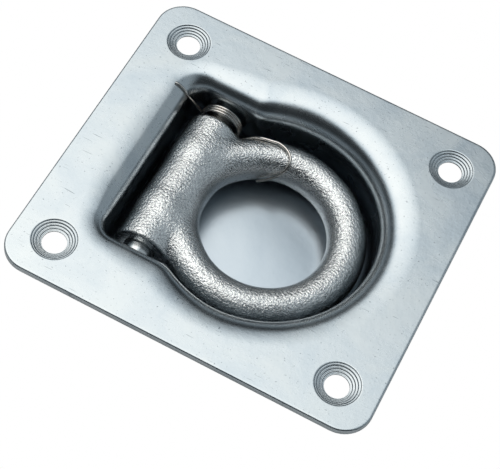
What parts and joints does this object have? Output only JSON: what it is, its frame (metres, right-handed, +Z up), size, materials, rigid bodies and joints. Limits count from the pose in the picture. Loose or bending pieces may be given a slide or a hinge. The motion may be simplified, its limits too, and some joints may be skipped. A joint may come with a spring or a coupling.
{
  "type": "flush mount tie down ring",
  "caption": "Pressed steel pan let into a floor, with a forged ring that folds up out of its recess on a cross pin and is laid back by a wire torsion spring.",
  "frame": {"origin": "middle of the four screw holes, on the plate's underside, which lies on the floor", "axes": "X runs from the pin towards the bowl, Y along the pin, Z up out of the floor"},
  "size_m": [0.1024, 0.096, 0.0223],
  "materials": {
    "pressed_steel": "bright zinc plating on smooth pressed sheet",
    "forged_steel": "zinc plating on a rough forged skin",
    "pin_steel": "bright zinc plating",
    "spring_steel": "drawn spring wire, brownish grey"
  },
  "bodies": {
    "pan_body": {"pan": "pressed_steel", "pivot_pin": "pin_steel", "torsion_spring": "spring_steel"},
    "ring_body": {"ring": "forged_steel"}
  },
  "joints": [
    {"name": "ring_hinge", "type": "hinge", "parent": "pan_body", "child": "ring_body", "pos_m": [-0.0227, 0, -0.0094], "axis": [0, -1, 0], "range_deg": [0, 110], "stiffness_Nm_per_rad": 0.033, "springref_deg": -28.65, "deforming": ["torsion_spring"]}
  ]
}
